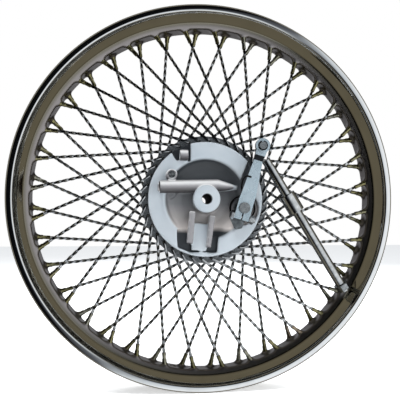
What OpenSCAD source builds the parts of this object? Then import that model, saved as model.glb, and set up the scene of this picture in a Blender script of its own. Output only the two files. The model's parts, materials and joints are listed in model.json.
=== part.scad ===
// Laced front wheel of a small drum-brake motorcycle, with its brake panel and its
// loose front axle. The wheel stands upright: the axle line is Y, up is +Z, and the
// brake panel faces -Y. Angles round the wheel are clock angles, in degrees from the
// top, growing towards +X.

/* [Rim] */
// Radius over the rolled edges of the rim
rim_r = 242.5; // [200:0.5:295]
// Width over the rolled edges
rim_w = 50; // [44:1:70]
// Height of the rim from its bed to its rolled edge
rim_depth = 25; // [22:0.5:30]
// Thickness of the rim's steel strip
rim_strip = 1.9; // [1.4:0.1:2.4]
// Sideways offset of the spoke holes from the middle of the bed
bed_offset = 5; // [4:0.5:6]
// Radius of the tyre valve's hole
valve_r = 4.2; // [3.5:0.1:5]
// Clock angle of the tyre valve's hole
valve_clock = 190.5; // [0:0.1:360]

/* [Lacing] */
// Spokes on each side of the hub
spokes_side = 36; // [18:2:36]
// Radius of a spoke
spoke_r = 1.7; // [1.2:0.1:2]
// Angle round the hub from a spoke's rim end to its hub end
spoke_lean = 41; // [25:1:45]
// Clock angle of the first brake-side hole in the rim
brake_side_phase = 3.5; // [0:0.1:10]
// Clock angle of the first plain-side hole in the rim
plain_side_phase = 7.6; // [0:0.1:10]
// Radius of a nipple's shank
nipple_r = 2.6; // [2.3:0.1:3]
// Length of a nipple's shank inside the rim
nipple_len = 17; // [12:1:20]
// Radius of a nipple's head
nipple_head_r = 3.7; // [3.3:0.1:4.5]
// Height of a nipple's head
nipple_head_h = 2.4; // [1.5:0.1:3]

/* [Hub] */
// Radius of the brake drum's working face
drum_r = 65; // [60:0.5:80]
// Thickness of the iron drum liner
liner_t = 2.6; // [2:0.1:4]
// Thickness of the aluminium round the liner
hub_wall = 2.4; // [2:0.1:4]
// Thickness of a spoke flange
flange_t = 4; // [3:0.5:5]
// Flange metal outside the spoke holes
flange_edge = 6; // [4:0.5:8]
// Front face of the brake-side flange
brake_flange_y = -15.5; // [-16:0.1:-15]
// Back face of the plain-side flange
plain_flange_y = 18.5; // [17:0.1:20]

/* [Bearings] */
// Radius of the axle
axle_r = 6; // [5:0.5:7]
// Outer radius of a ball bearing
bearing_r = 18.5; // [17:0.5:20]
// Width of a ball bearing
bearing_w = 12; // [11:0.5:13]
// Balls in each bearing
ball_count = 7; // [6:1:8]
// Length of the tube between the inner races
spacer_len = 17; // [12:0.5:18]

/* [Brake panel] */
// Front face of the panel's flat ring
panel_y = -25; // [-27:0.5:-24]
// Inner radius of the flat ring
ring_in_r = 52.5; // [48:0.5:55]
// Front face of the axle boss
boss_y = -37.3; // [-42:0.1:-36]
// Radius of the axle boss
boss_r = 16.7; // [16:0.1:19]
// Width of the slot that takes the fork leg's torque stop
slot_w = 17.6; // [14:0.2:19]
// Lean of the torque slot from the vertical
slot_tilt = 5; // [0:0.5:10]
// Bore radius of the brake cable stay
stay_bore_r = 4.1; // [3:0.1:5]
// Length of the brake cable stay
stay_len = 10.5; // [8:0.5:14]

/* [Speedometer drive] */
// Pitch radius of the drive gear round the axle
gear_pitch_r = 11.2; // [11:0.1:11.5]
// Pitch radius of the pinion
pinion_pitch_r = 5.4; // [5:0.1:5.8]
// Teeth on the drive gear
gear_teeth = 24; // [24]
// Teeth on the pinion
pinion_teeth = 12; // [12]
// Tilt of the pinion out of the panel
pinion_tilt = 7; // [5:0.5:8]
// Radius of the speedometer cable's socket
cable_socket_r = 4.6; // [4:0.1:5]

/* [Brake] */
// Distance of the cam from the axle line, and of the anchor pin
cam_place_r = 47.4; // [46:0.1:50]
// Clock angle of the cam
cam_clock = 103.5; // [100:0.5:106]
// Radius of the cam's shaft
cam_shaft_r = 7; // [6:0.1:7.5]
// Thickness of the cam across its flats
cam_t = 9; // [8:0.1:10]
// Radius of the anchor pin
anchor_r = 6.5; // [5.5:0.1:7]
// Gap between the linings and the drum at rest
lining_gap = 0.75; // [0.7:0.05:1]
// Thickness of a lining
lining_t = 4; // [2.5:0.1:5]

/* [Brake arm] */
// Length of the arm from the cam to the cable pin
arm_len = 78.5; // [70:0.5:95]
// Lean of the arm from the vertical
arm_tilt = 15.7; // [10:0.1:25]
// Thickness of the arm's plate
arm_t = 4.6; // [4:0.1:5]
// Outer radius of the arm's eye
eye_r = 9; // [8:0.5:10]
// Radius of the cable pin
cable_pin_r = 4.5; // [4:0.1:5]
// Radius of the pinch bolt
pinch_r = 3; // [2.5:0.1:3.2]

/* [Loose axle] */
// Length of the loose axle
axle_len = 196.5; // [160:0.5:200]
// Distance across the flats of its nut
axle_flats = 15; // [14:0.5:18]
// Height of the nut's hexagon
nut_h = 6.8; // [5:0.1:9]
// Outer radius of the spacer collar
collar_r = 10.15; // [9.5:0.05:12]
// Length of the spacer collar
collar_len = 25; // [18:0.5:30]

/* [Hidden] */
$fn = 64;
run_gap = 0.08;    // radial clearance of a turning fit
press_gap = 0.01;  // radial clearance of a pressed fit
bond_gap = 0.06;   // radial thickness of the glue line under a lining
clear = 0.3;       // clearance between parts that pass each other
cut = 1;           // how far a cutter stands past the face it cuts

bed_r = rim_r - rim_depth;
liner_r = drum_r + liner_t;
barrel_r = liner_r + hub_wall;
hole_circle_brake = barrel_r + 4;
hole_circle_plain = hole_circle_brake - 2;
// how far a spoke comes nearer to its flange on the way from its hole to the flange's edge
spoke_drop = flange_edge * (plain_flange_y + spoke_r - bed_offset)
    / (bed_r * cos(spoke_lean) - hole_circle_plain);
spoke_stand = spoke_r + spoke_drop + 0.1;  // a spoke's line stands this far off its flange
spoke_y_brake = brake_flange_y - spoke_stand;
spoke_y_plain = plain_flange_y + spoke_stand;
spoke_head_r = spoke_r + 1.5;
spoke_head_t = 2;

panel_r = hole_circle_brake - spoke_r - 0.7;
panel_back_y = brake_flange_y - 3;       // back of the panel's edge, in front of the hub's mouth
mouth_y = panel_back_y + 0.4;
spigot_r = drum_r - 0.5;                 // step of the panel that enters the drum
spigot_y = panel_back_y + 1.9;
pocket_y = panel_y + 4.2;                // floor of the pockets in the flat ring

bore_r = axle_r + 0.1;
left_race_y = -8;
tube_y = left_race_y + bearing_w;
right_race_y = tube_y + spacer_len;
seal_w = 5;
hub_end_y = right_race_y + bearing_w + seal_w + 1;
ball_pitch_r = (axle_r + bearing_r) / 2;
ball_r = 3.95;
race_wall = 2.3;

gear_y = -26;                            // where the pinion's line crosses the axle line
gear_half = 3.7;                         // half the length of the gear's teeth
gear_tip = 0.35;                         // tooth height outside the pitch circle
gear_well_y = -30;                       // floor of the gear's well in the axle boss
gear_well_r = gear_pitch_r + 1.7;
gear_sleeve_r = 8.92;
drive_ring_y = -11.4;
boss_back_y = -11.7;
pinion_z = gear_pitch_r + pinion_pitch_r;
shaft_angle = 90 - pinion_tilt;
tooth_k = pinion_teeth * gear_pitch_r / (gear_teeth * pinion_pitch_r);
gear_helix = atan2(tooth_k - cos(shaft_angle), sin(shaft_angle));
pinion_helix = shaft_angle - gear_helix;
tooth_t = 0.62 * PI * gear_pitch_r * cos(gear_helix) / gear_teeth;
speedo_dip = 2;                          // the housing's left end hangs this many degrees low
speedo_tube_r = 8;
speedo_bore_r = 6.3;
speedo_left = -58;                       // left end of the speedometer housing, on the pinion's line
bush_right = -9.2;
socket_depth = 15;
screw_x = -42.5;
screw_z = 29.4;

cam_x = cam_place_r * sin(cam_clock);
cam_z = cam_place_r * cos(cam_clock);
cam_boss_r = 10.5;
cam_boss_y = -27;
cam_pocket_r = 20.5;
cam_end_y = -40.5;
clamp_back_y = -29.8;
clamp_y = -38.5;
plate_y = -42;
eye_y = -45.5;
clamp_half = 9.5;
clamp_low = -15;
pinch_v = -11.6;
bolt_head_r = 5.6;                       // over the corners of the pinch bolt's head and nut
pinch_y = clamp_back_y - bolt_head_r * cos(30);  // the head's flat is level with the clamp's back
indicator_t = 1;
indicator_y = clamp_back_y + 0.2;        // front face of the wear indicator, just behind the clamp
shoe_front_y = -15.6;
shoe_back_y = 4.8;
lining_r = drum_r - lining_gap;
shoe_r = lining_r - lining_t;
shoe_table_t = 2.6;
web_front_y = -8;
web_back_y = -3;

stay_x = -27.7;
stay_z = 54;
stay_y = -30;
stay_r = stay_bore_r + 2.5;

// the loose axle lies across the brake-side spokes, its collar resting on them
axle_near_r = panel_r + 17.9;
axle_near_clock = 56.5;
axle_fall = 57.5;                        // its slope down towards +X
axle_back = 2.1;                         // its slope towards the rim
collar_from = 51;                        // collar's near end, from the axle's near end
axle_run = [cos(axle_fall) * cos(axle_back), sin(axle_back), -sin(axle_fall) * cos(axle_back)];
// how far along a brake-side spoke it reaches the radius r, and its front face there
spoke_run2 = pow(hole_circle_brake, 2) + pow(bed_r, 2)
    - 2 * hole_circle_brake * bed_r * cos(spoke_lean);
spoke_rise = hole_circle_brake * (bed_r * cos(spoke_lean) - hole_circle_brake);
function spoke_part(r) = (sqrt(pow(spoke_rise, 2) + spoke_run2 * (r * r - pow(hole_circle_brake, 2)))
    - spoke_rise) / spoke_run2;
function spoke_front(r) = spoke_y_brake - (spoke_y_brake + bed_offset) * spoke_part(r) - spoke_r;
collar_at_r = norm([axle_near_r * sin(axle_near_clock) + collar_from * axle_run[0],
    axle_near_r * cos(axle_near_clock) + collar_from * axle_run[2]]);
axle_near_y = spoke_front(collar_at_r) - collar_r - clear - collar_from * axle_run[1];
tip_len = 8.6;                           // plain tip at the near end, up to its groove
tip_r = axle_r - 0.5;
groove_w = 1.2;
groove_r = axle_r - 1.2;
nut_end = 2.2;                           // axle that stands out past the nut
nut_flange_r = 8.8;
nut_flange_h = 1.3;

function clock_pt(r, a, y) = [r * sin(a), y, r * cos(a)];
function unit(v) = v / norm(v);

// a profile of [radius, y] points turned about the axle line
module turned(pts) rotate([-90, 0, 0]) rotate_extrude($fn = 180) polygon(pts);
// a ring about the axle line
module ring(r_in, r_out, y0, y1) turned([[r_in, y0], [r_out, y0], [r_out, y1], [r_in, y1]]);
// a front-view outline in x and z, from y0 to y1
module slab(y0, y1) rotate([90, 0, 0]) translate([0, 0, -y1]) linear_extrude(y1 - y0) children();
// a round bar along Y
module bar_y(r, y0, y1) translate([0, y0, 0]) rotate([-90, 0, 0]) cylinder(r = r, h = y1 - y0);
module bar_ring(r_in, r_out, y0, y1) difference() {
    bar_y(r_out, y0, y1);
    bar_y(r_in, y0 - cut, y1 + cut);
}
// stands a child's Z along the line from p to q
module along(p, q) {
    d = q - p;
    translate(p) rotate([0, acos(d[2] / norm(d)), atan2(d[1], d[0])]) children();
}
module round_copies(n) for (i = [0 : n - 1]) rotate([0, i * 360 / n, 0]) children();
// a round wire of 8 sides swept along points, its section carried along without twist
wire_sides = 8;
function tangent(pts, i) = unit(pts[min(i + 1, len(pts) - 1)] - pts[max(i - 1, 0)]);
function across(u, t) = unit(u - (u * t) * t);
function wire_rings(pts, r) = [for (i = 0, u = [0.31, 0.42, 0.85]; i < len(pts);
    u = across(u, tangent(pts, min(i, len(pts) - 1))), i = i + 1)
    let (t = tangent(pts, i), w = across(u, t), v = cross(t, w))
        for (k = [0 : wire_sides - 1]) let (a = k * 360 / wire_sides) pts[i] + r * (cos(a) * w + sin(a) * v)];
module wire(pts, r) {
    n = len(pts);
    walls = [for (i = [0 : n - 2]) for (k = [0 : wire_sides - 1])
        let (a = i * wire_sides + k, b = i * wire_sides + (k + 1) % wire_sides)
            [a, a + wire_sides, b + wire_sides, b]];
    ends = [[for (k = [0 : wire_sides - 1]) k],
        [for (k = [wire_sides - 1 : -1 : 0]) (n - 1) * wire_sides + k]];
    polyhedron(wire_rings(pts, r), concat(walls, ends), convexity = 6);
}

// ---- rim ----
rim_half = rim_w / 2;
// hub side of the strip from the edge of its flat bed to the rolled edge: [y, radius]
rim_side = [[8.6, bed_r], [10.2, bed_r + 1.8], [12.3, bed_r + 7],
    [13.6, bed_r + 8.1], [rim_half - 3.4, rim_r - 10.9], [rim_half - 2.3, rim_r - 9.3],
    [rim_half - 0.5, rim_r - 6.8], [rim_half, rim_r - 4.2], [rim_half - 0.5, rim_r - 1.8],
    [rim_half - 1.6, rim_r - 0.4], [rim_half - 2.8, rim_r]];
rim_path = concat([for (i = [len(rim_side) - 1 : -1 : 0]) [-rim_side[i][0], rim_side[i][1]]],
    rim_side);
function left_of(d) = [-d[1], d[0]];
function strip_pt(path, i, t) = let (n = len(path),
    a = left_of(unit(path[max(i, 1)] - path[max(i, 1) - 1])),
    b = left_of(unit(path[min(i + 1, n - 1)] - path[min(i + 1, n - 1) - 1])))
    path[i] + t * (a + b) / (1 + a * b);

module spoke_place(side) {
    // side -1 is the brake side, 1 the plain side; Z runs up the spoke from its hub end
    hub_circle = side < 0 ? hole_circle_brake : hole_circle_plain;
    hub_y = side < 0 ? spoke_y_brake : spoke_y_plain;
    phase = side < 0 ? brake_side_phase : plain_side_phase;
    along(clock_pt(hub_circle, phase - side * spoke_lean, hub_y),
        clock_pt(bed_r, phase, side * bed_offset)) children();
}
function spoke_len(side) = norm(
    clock_pt(side < 0 ? hole_circle_brake : hole_circle_plain, -side * spoke_lean,
        side < 0 ? spoke_y_brake : spoke_y_plain) - clock_pt(bed_r, 0, side * bed_offset));
nipple_seat = rim_strip + 1.6;           // from the bed to the underside of a nipple's head

module rim() color("gainsboro") difference() {
    turned(concat([for (p = rim_path) [p[1], p[0]]],
        [for (i = [len(rim_path) - 1 : -1 : 0]) let (p = strip_pt(rim_path, i, rim_strip)) [p[1], p[0]]]));
    for (side = [-1, 1]) round_copies(spokes_side) spoke_place(side)
        translate([0, 0, spoke_len(side) - 6]) cylinder(r = nipple_r + 0.12, h = 16);
    rotate([0, valve_clock, 0]) translate([0, 0, bed_r - cut]) cylinder(r = valve_r, h = rim_strip + 3);
}

// ---- spokes and nipples ----
module spoke(side) {
    hub_circle = side < 0 ? hole_circle_brake : hole_circle_plain;
    hub_y = side < 0 ? spoke_y_brake : spoke_y_plain;
    phase = side < 0 ? brake_side_phase : plain_side_phase;
    stem = spoke_stand + flange_t;
    spoke_place(side) cylinder(r = spoke_r, h = spoke_len(side) + nipple_seat, $fn = 24);
    translate(clock_pt(hub_circle, phase - side * spoke_lean, hub_y)) {
        sphere(r = spoke_r + 0.12, $fn = 24);
        rotate([side * 90, 0, 0]) {
            cylinder(r = spoke_r - 0.05, h = stem, $fn = 24);
            translate([0, 0, stem]) cylinder(r = spoke_head_r, h = spoke_head_t, $fn = 24);
        }
    }
}
module nipple(side) spoke_place(side) translate([0, 0, spoke_len(side)]) difference() {
    union() {
        translate([0, 0, -nipple_len]) cylinder(r = nipple_r, h = nipple_len + nipple_seat + cut, $fn = 24);
        translate([0, 0, nipple_seat]) cylinder(r = nipple_head_r, h = nipple_head_h, $fn = 24);
    }
    translate([0, 0, -nipple_len - cut])
        cylinder(r = spoke_r + 0.02, h = nipple_len + nipple_seat + 5, $fn = 24);
}
module spokes_brake_side() color("silver") round_copies(spokes_side) spoke(-1);
module spokes_plain_side() color("silver") round_copies(spokes_side) spoke(1);
module nipples_brake_side() color("darkkhaki") round_copies(spokes_side) nipple(-1);
module nipples_plain_side() color("darkkhaki") round_copies(spokes_side) nipple(1);

// ---- hub ----
module hub_shell() color("lightgray") difference() {
    turned([[liner_r, mouth_y], [barrel_r, mouth_y], [barrel_r, brake_flange_y],
        [hole_circle_brake + flange_edge, brake_flange_y],
        [hole_circle_brake + flange_edge, brake_flange_y + flange_t],
        [barrel_r, brake_flange_y + flange_t], [barrel_r, 8], [barrel_r - 4, 11],
        [barrel_r - 4, plain_flange_y - flange_t],
        [hole_circle_plain + flange_edge, plain_flange_y - flange_t],
        [hole_circle_plain + flange_edge, plain_flange_y], [barrel_r - 4, plain_flange_y],
        [barrel_r - 8, plain_flange_y + 1.5], [bearing_r + 16, plain_flange_y + 7],
        [bearing_r + 9, plain_flange_y + 14], [bearing_r + 6, hub_end_y], [bearing_r, hub_end_y],
        [bearing_r, right_race_y], [bearing_r - 4, right_race_y], [bearing_r - 4, tube_y],
        [bearing_r, tube_y], [bearing_r, left_race_y - 1], [bearing_r + 4.5, left_race_y - 1],
        [bearing_r + 7, 8], [bearing_r + 12, 14], [bearing_r + 20, 18], [drum_r - 3, 13.5],
        [drum_r - 1, 10], [drum_r - 1, 6.1], [liner_r, 6.1]]);
    round_copies(spokes_side) {
        translate(clock_pt(hole_circle_brake, brake_side_phase + spoke_lean, brake_flange_y))
            bar_y(spoke_r + 0.1, -cut, flange_t + cut);
        translate(clock_pt(hole_circle_plain, plain_side_phase - spoke_lean, plain_flange_y))
            bar_y(spoke_r + 0.1, -flange_t - cut, cut);
    }
}
module drum_liner() color("dimgray") ring(drum_r, liner_r - press_gap, mouth_y + 0.5, 6.1);

// ---- bearings ----
module race_profile(r_in, r_out, y0) difference() {
    ring(r_in, r_out, y0, y0 + bearing_w);
    translate([0, y0 + bearing_w / 2, 0]) rotate([-90, 0, 0])
        rotate_extrude($fn = 180) translate([ball_pitch_r, 0]) circle(r = ball_r + run_gap, $fn = 48);
}
module both_bearings() for (y = [left_race_y, right_race_y]) translate([0, y, 0]) children();
module bearing_outer_races() color("slategray") both_bearings()
    race_profile(ball_pitch_r + race_wall, bearing_r - press_gap, 0);
module bearing_inner_races() color("lightslategray") both_bearings()
    race_profile(bore_r, ball_pitch_r - race_wall, 0);
module ball_places() round_copies(ball_count) translate([0, bearing_w / 2, ball_pitch_r]) children();
module bearing_balls() color("whitesmoke") both_bearings() ball_places() sphere(r = ball_r);
module bearing_cages() color("goldenrod") both_bearings() difference() {
    ring(ball_pitch_r - 1, ball_pitch_r + 1, bearing_w / 2 - 5, bearing_w / 2 + 5);
    ball_places() sphere(r = ball_r + run_gap);
}
module distance_tube() color("gray") ring(bore_r, bore_r + 2.9, tube_y, right_race_y);
module dust_seal() color("#222222")
    ring(collar_r + clear, bearing_r - press_gap, right_race_y + bearing_w + 0.3, hub_end_y - 0.7);

// ---- speedometer drive ----
dog_in_r = 9.7;
dog_w = 5.4;
module dog(w, r_out, y0, y1) translate([-w / 2, y0, -r_out]) cube([w, y1 - y0, 2 * r_out]);
module speedo_turn() rotate([0, -speedo_dip, 0]) children();
module speedo_drive_ring() color("gray") {
    ring(dog_in_r, bearing_r + 2, drive_ring_y, left_race_y - 1);
    intersection() {
        speedo_turn() dog(dog_w, gear_well_r, drive_ring_y - 7, drive_ring_y + 0.5);
        ring(dog_in_r, gear_well_r - 1, drive_ring_y - 7, drive_ring_y + 0.5);
    }
}
module gear_tooth_boxes(count, r, helix, phase, length) for (i = [0 : count - 1])
    rotate([0, 0, phase + i * 360 / count]) translate([r, 0, 0]) rotate([helix, 0, 0])
        translate([-1.4, -tooth_t / 2, -length]) cube([2.8, tooth_t, 2 * length]);
// a gear about Z, its first tooth or gap towards +X
module toothed(count, r, helix, phase, half, r_in) intersection() {
    difference() {
        cylinder(r = r + gear_tip, h = 2 * half, center = true);
        cylinder(r = r_in, h = 3 * half, center = true);
    }
    union() {
        cylinder(r = r - gear_tip - 0.25, h = 2 * half, center = true);
        gear_tooth_boxes(count, r, helix, phase, 2 * half);
    }
}
module speedo_drive_gear() color("ivory") speedo_turn() {
    translate([0, gear_y, 0]) rotate([0, -90, 0]) rotate([-90, 0, 0])
        toothed(gear_teeth, gear_pitch_r, -gear_helix, 0, gear_half, gear_sleeve_r + run_gap);
    difference() {
        union() {
            ring(gear_sleeve_r + run_gap, gear_pitch_r - 0.7, gear_y + gear_half - 0.5,
                gear_y + gear_half + 2);
            ring(gear_sleeve_r + run_gap, gear_well_r - clear, gear_y + gear_half + 1.2, boss_back_y);
        }
        dog(dog_w + 0.3, gear_well_r + cut, drive_ring_y - 7.3, boss_back_y + cut);
    }
}
module speedo_gear_sleeve() color("silver") ring(bore_r, gear_sleeve_r, gear_well_y, left_race_y);
// the pinion's line: Z runs to its right-hand end, X down to the drive gear
module pinion_place() speedo_turn() translate([0, gear_y, pinion_z]) rotate([0, 0, pinion_tilt])
    rotate([0, 90, 0]) children();
module speedo_pinion() color("gray") pinion_place() {
    toothed(pinion_teeth, pinion_pitch_r, -pinion_helix, 180 / pinion_teeth, 5, 0.5);
    // the shaft stops 1 mm short of the cable socket's floor
    shaft_left = speedo_left + socket_depth + 2;
    translate([0, 0, shaft_left]) cylinder(r = 3, h = 14 - shaft_left, $fn = 48);
}
module speedo_pinion_bush() color("peru") pinion_place() difference() {
    translate([0, 0, speedo_left + 1]) cylinder(r = speedo_bore_r - 0.02, h = bush_right - speedo_left - 1);
    translate([0, 0, speedo_left]) cylinder(r = 3 + run_gap, h = 70);
    translate([0, 0, speedo_left]) cylinder(r = cable_socket_r, h = socket_depth + 1);
}
module speedo_bush_screw() color("silver") translate([screw_x, 0, screw_z]) difference() {
    union() {
        bar_y(2.45, -33.5, -24);
        bar_y(4.3, -36.4, -33.4);
    }
    translate([-5, -37, -0.5]) cube([10, 1.6, 1]);
}

// ---- brake panel ----
module at_cam() translate([cam_x, 0, cam_z]) children();
module at_anchor() translate([-cam_x, 0, -cam_z]) children();
module at_slot() translate([-5, 0, -20]) rotate([0, slot_tilt, 0]) children();
rib_w = 7.4;
module torque_ribs() at_slot() {
    slab(-33, pocket_y + 1) polygon([[-slot_w / 2 - rib_w, 4], [-slot_w / 2, 4], [-slot_w / 2, -36],
        [-slot_w / 2 - rib_w, -36]]);
    slab(-33, pocket_y + 1) polygon([[slot_w / 2, 1], [slot_w / 2 + rib_w, 1], [slot_w / 2 + 5, -39],
        [slot_w / 2, -39]]);
}
module brake_panel() color("lightsteelblue") difference() {
    union() {
        difference() {
            turned([[bore_r, boss_y], [boss_r - 0.8, boss_y], [boss_r, boss_y + 0.8], [boss_r, -20],
                [boss_r + 0.6, -17.5], [boss_r + 2.3, -15.9], [30, -15.9], [40, -17.5],
                [ring_in_r - 5.5, -20.5], [ring_in_r - 2, panel_y + 0.9], [ring_in_r, panel_y],
                [panel_r - 0.8, panel_y], [panel_r, panel_y + 0.8], [panel_r, panel_back_y],
                [spigot_r, panel_back_y], [spigot_r, spigot_y], [50, spigot_y], [40, -13.5],
                [30, boss_back_y], [bore_r, boss_back_y]]);
            // well round the cam, the arm's pocket, the cable stay's pocket and the slot's pocket
            at_cam() bar_y(cam_pocket_r, panel_y - cut, pocket_y);
            slab(panel_y - cut, pocket_y)
                polygon([[44, 25], [53.8, 50], [62, 52], [66, 20], [60, 5], [50, 5]]);
            slab(panel_y - cut, pocket_y) polygon([[stay_x - 9, stay_z - 6], [stay_x + 8.5, stay_z - 7],
                [stay_x + 8.5, stay_z + 20], [stay_x - 20, stay_z + 20], [stay_x - 14, stay_z + 2]]);
            slab(panel_y - cut, pocket_y) polygon([[-36, -37], [-35, -59.5], [-20, -65.6], [14, -66.2],
                [16.5, -36]]);
        }
        at_cam() bar_y(cam_boss_r, cam_boss_y, -13.5);
        at_anchor() bar_y(anchor_r + 4, -21, spigot_y + 3);
        torque_ribs();
        // raised floor of the torque slot
        at_slot() slab(panel_y + 0.2, pocket_y + 1)
            polygon([[-slot_w / 2 - 1, -10], [slot_w / 2 + 1, -10], [slot_w / 2 + 1, -44],
                [-slot_w / 2 - 1, -44]]);
        // speedometer housing on its web, with its tapered nose
        pinion_place() {
            translate([0, 0, speedo_left]) cylinder(r = speedo_tube_r, h = 16 - speedo_left);
            translate([0, 0, 15]) rotate([0, 8, 0]) cylinder(r1 = speedo_tube_r, r2 = 3, h = 26);
        }
        speedo_turn() slab(-27, -14) translate([speedo_left + 8, pinion_z - 6.5])
            square([18 - speedo_left - 8, 13]);
        translate([screw_x, 0, screw_z]) bar_y(6.8, -35, pocket_y);
        // cable stay on its foot
        translate([stay_x - stay_len / 2, stay_y, stay_z]) rotate([0, 90, 0])
            cylinder(r = stay_r, h = stay_len);
        slab(stay_y, pocket_y + 1) translate([stay_x - stay_len / 2, stay_z - stay_r + 1])
            square([stay_len, 2 * stay_r - 2]);
    }
    bar_y(bore_r, boss_y - cut, 0);
    bar_y(gear_well_r, gear_well_y, 0);
    at_cam() bar_y(cam_shaft_r + run_gap, -40, 0);
    at_anchor() bar_y(anchor_r + press_gap, -20, 0);
    pinion_place() {
        translate([0, 0, speedo_left - cut]) cylinder(r = speedo_bore_r, h = 9 - speedo_left);
        translate([0, 0, 5]) cylinder(r = 3 + run_gap, h = 10);
    }
    translate([screw_x, 0, screw_z]) {
        bar_y(2.5, -40, -23.5);
        bar_y(4.7, -40, -33.4);
    }
    translate([stay_x - stay_len / 2 - cut, stay_y, stay_z]) rotate([0, 90, 0])
        cylinder(r = stay_bore_r, h = stay_len + 2 * cut);
}

// ---- cam, arm and what is on them ----
module at_arm() at_cam() rotate([0, arm_tilt, 0]) children();
cam_face_tilt = 90 - cam_clock;          // the cam's flats lie along the line to the anchor pin
module brake_cam() color("silver") at_cam() {
    bar_y(cam_shaft_r, -28, -13);
    bar_y(cam_shaft_r - 0.2, cam_end_y, -27.9);
    intersection() {
        rotate([0, -cam_face_tilt, 0]) translate([-8, -13.2, -cam_t / 2]) cube([16, 11.7, cam_t]);
        bar_y(8.3, -14, 0);
    }
}
module cam_felt_seal() color("#5b4a38") at_cam() bar_ring(cam_shaft_r + clear, cam_boss_r, -28.4, cam_boss_y);
module wear_indicator() color("silver") at_cam() difference() {
    slab(indicator_y, indicator_y + indicator_t) union() {
        circle(r = 11.5);
        polygon([[-10, 0], [-16.5, -4], [-17.5, -10], [-11.5, -24.5], [-8.5, -26.5], [-1.5, -25], [6, -9]]);
    }
    bar_y(cam_shaft_r - 0.17, -31, -27);
    translate([-14.2, 0, -8]) bar_y(1.8, -31, -27);
}
coil_r = 15.6;
coil_wire = 1.1;
coil_turns = 2.25;
coil_from_y = -22.6;
coil_rise = 4.6;
coil_steps = 54;
module cam_return_spring() color("#3a3a3a") at_arm() wire(concat(
    [for (i = [0 : coil_steps]) let (t = i / coil_steps, a = t * 360 * coil_turns)
        [-coil_r * cos(a), coil_from_y - coil_rise * t, coil_r * sin(a)]],
    [[-3.4, -27.6, 17], [-6.8, -29, 20.4], [-9.6, -32, 25], [-11, -36, 30], [-11.2, -40, 34],
        [-10.4, -42.6, 36.6], [-8.6, -43.4, 37.8], [-6, -43.5, 38], [-3, -43.5, 38]]), coil_wire);

module arm_outline() {
    polygon([[-clamp_half, clamp_low], [clamp_half, clamp_low], [clamp_half, 9.5], [9.2, 17.5],
        [5.5, arm_len - 18.5], [6.8, arm_len - 6], [-6.8, arm_len - 6], [-5.5, arm_len - 18.5],
        [-9.2, 17.5], [-clamp_half, 9.5]]);
    translate([0, arm_len]) circle(r = eye_r);
}
module brake_arm() color("lightslategray") at_arm() difference() {
    intersection() {
        slab(-50, -20) arm_outline();
        // cranked side view in v and y
        rotate([0, -90, 0]) translate([0, 0, -20]) linear_extrude(40) polygon([
            [clamp_low, clamp_y], [9.5, clamp_y], [17.5, plate_y], [arm_len - 18.5, plate_y],
            [arm_len - 12.5, eye_y], [arm_len + 10, eye_y], [arm_len + 10, eye_y + arm_t],
            [arm_len - 11, eye_y + arm_t], [arm_len - 17, plate_y + arm_t], [18.5, plate_y + arm_t],
            [11.5, clamp_y + arm_t], [10, clamp_back_y], [clamp_low, clamp_back_y]]);
    }
    bar_y(cam_shaft_r - 0.17, -50, -20);
    translate([-0.8, -50, clamp_low - cut]) cube([1.6, 30, -clamp_low]);
    translate([-20, pinch_y, pinch_v]) rotate([0, 90, 0]) cylinder(r = pinch_r + 0.1, h = 40);
    translate([0, 0, arm_len]) bar_y(cable_pin_r + run_gap, -50, -30);
}
module pinch_place(u) at_arm() translate([u, pinch_y, pinch_v]) rotate([0, 90, 0]) children();
washer_t = 1;
module pinch_bolt() color("silver") {
    pinch_place(-clamp_half) cylinder(r = pinch_r, h = 2 * clamp_half + 8);
    pinch_place(-clamp_half - 4) cylinder(r = bolt_head_r, h = 4, $fn = 6);
}
module pinch_washer() color("silver") pinch_place(clamp_half) difference() {
    cylinder(r = 5.8, h = washer_t);
    translate([0, 0, -cut]) cylinder(r = pinch_r + press_gap, h = 4);
}
module pinch_nut() color("silver") pinch_place(clamp_half + washer_t) difference() {
    cylinder(r = bolt_head_r, h = 5, $fn = 6);
    translate([0, 0, -cut]) cylinder(r = pinch_r + press_gap, h = 8);
}
barrel_y = eye_y + arm_t + clear;
pin_end_y = -30.5;
module at_eye() at_arm() translate([0, 0, arm_len]) rotate([0, -arm_tilt, 0]) children();
module cable_pin() color("silver") at_eye() difference() {
    union() {
        bar_y(cable_pin_r, eye_y - 1.4, barrel_y + 0.1);
        bar_y(6.2, barrel_y, pin_end_y);
    }
    translate([-10, (barrel_y + pin_end_y) / 2, 0]) rotate([0, 90, 0]) cylinder(r = 3.1, h = 20);
    difference() {
        bar_y(cable_pin_r + cut, eye_y - 0.85, eye_y - 0.25);
        bar_y(cable_pin_r - 0.6, eye_y - 2, eye_y);
    }
}
module cable_pin_clip() color("dimgray") at_eye() difference() {
    bar_y(cable_pin_r + 1.5, eye_y - 0.8, eye_y - 0.3);
    bar_y(cable_pin_r - 0.55, eye_y - 2, eye_y);
    translate([-1.2, eye_y - 2, 0]) cube([2.4, 3, 10]);
}

// ---- shoes ----
module anchor_pin() color("silver") at_anchor() bar_y(anchor_r, -20, -1.5);
// the shoes' frame: X from the anchor pin to the cam, Z across, Y along the axle
module at_shoes(flip) rotate([0, -cam_face_tilt, 0]) rotate([flip ? 180 : 0, 0, 0]) children();
shoe_arc = 56;                           // half the angle that a lining covers
module sector(r, half) polygon(concat([[0, 0]], [for (i = [-8 : 8]) let (a = 90 + half * i / 8)
    [r * cos(a), r * sin(a)] / cos(half / 16)]));
module shoe_band(r_in, r_out, y0, y1, half) intersection() {
    ring(r_in, r_out, y0, y1);
    slab(y0 - cut, y1 + cut) sector(r_out + 5, half);
}
pad_h = 7;
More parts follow.
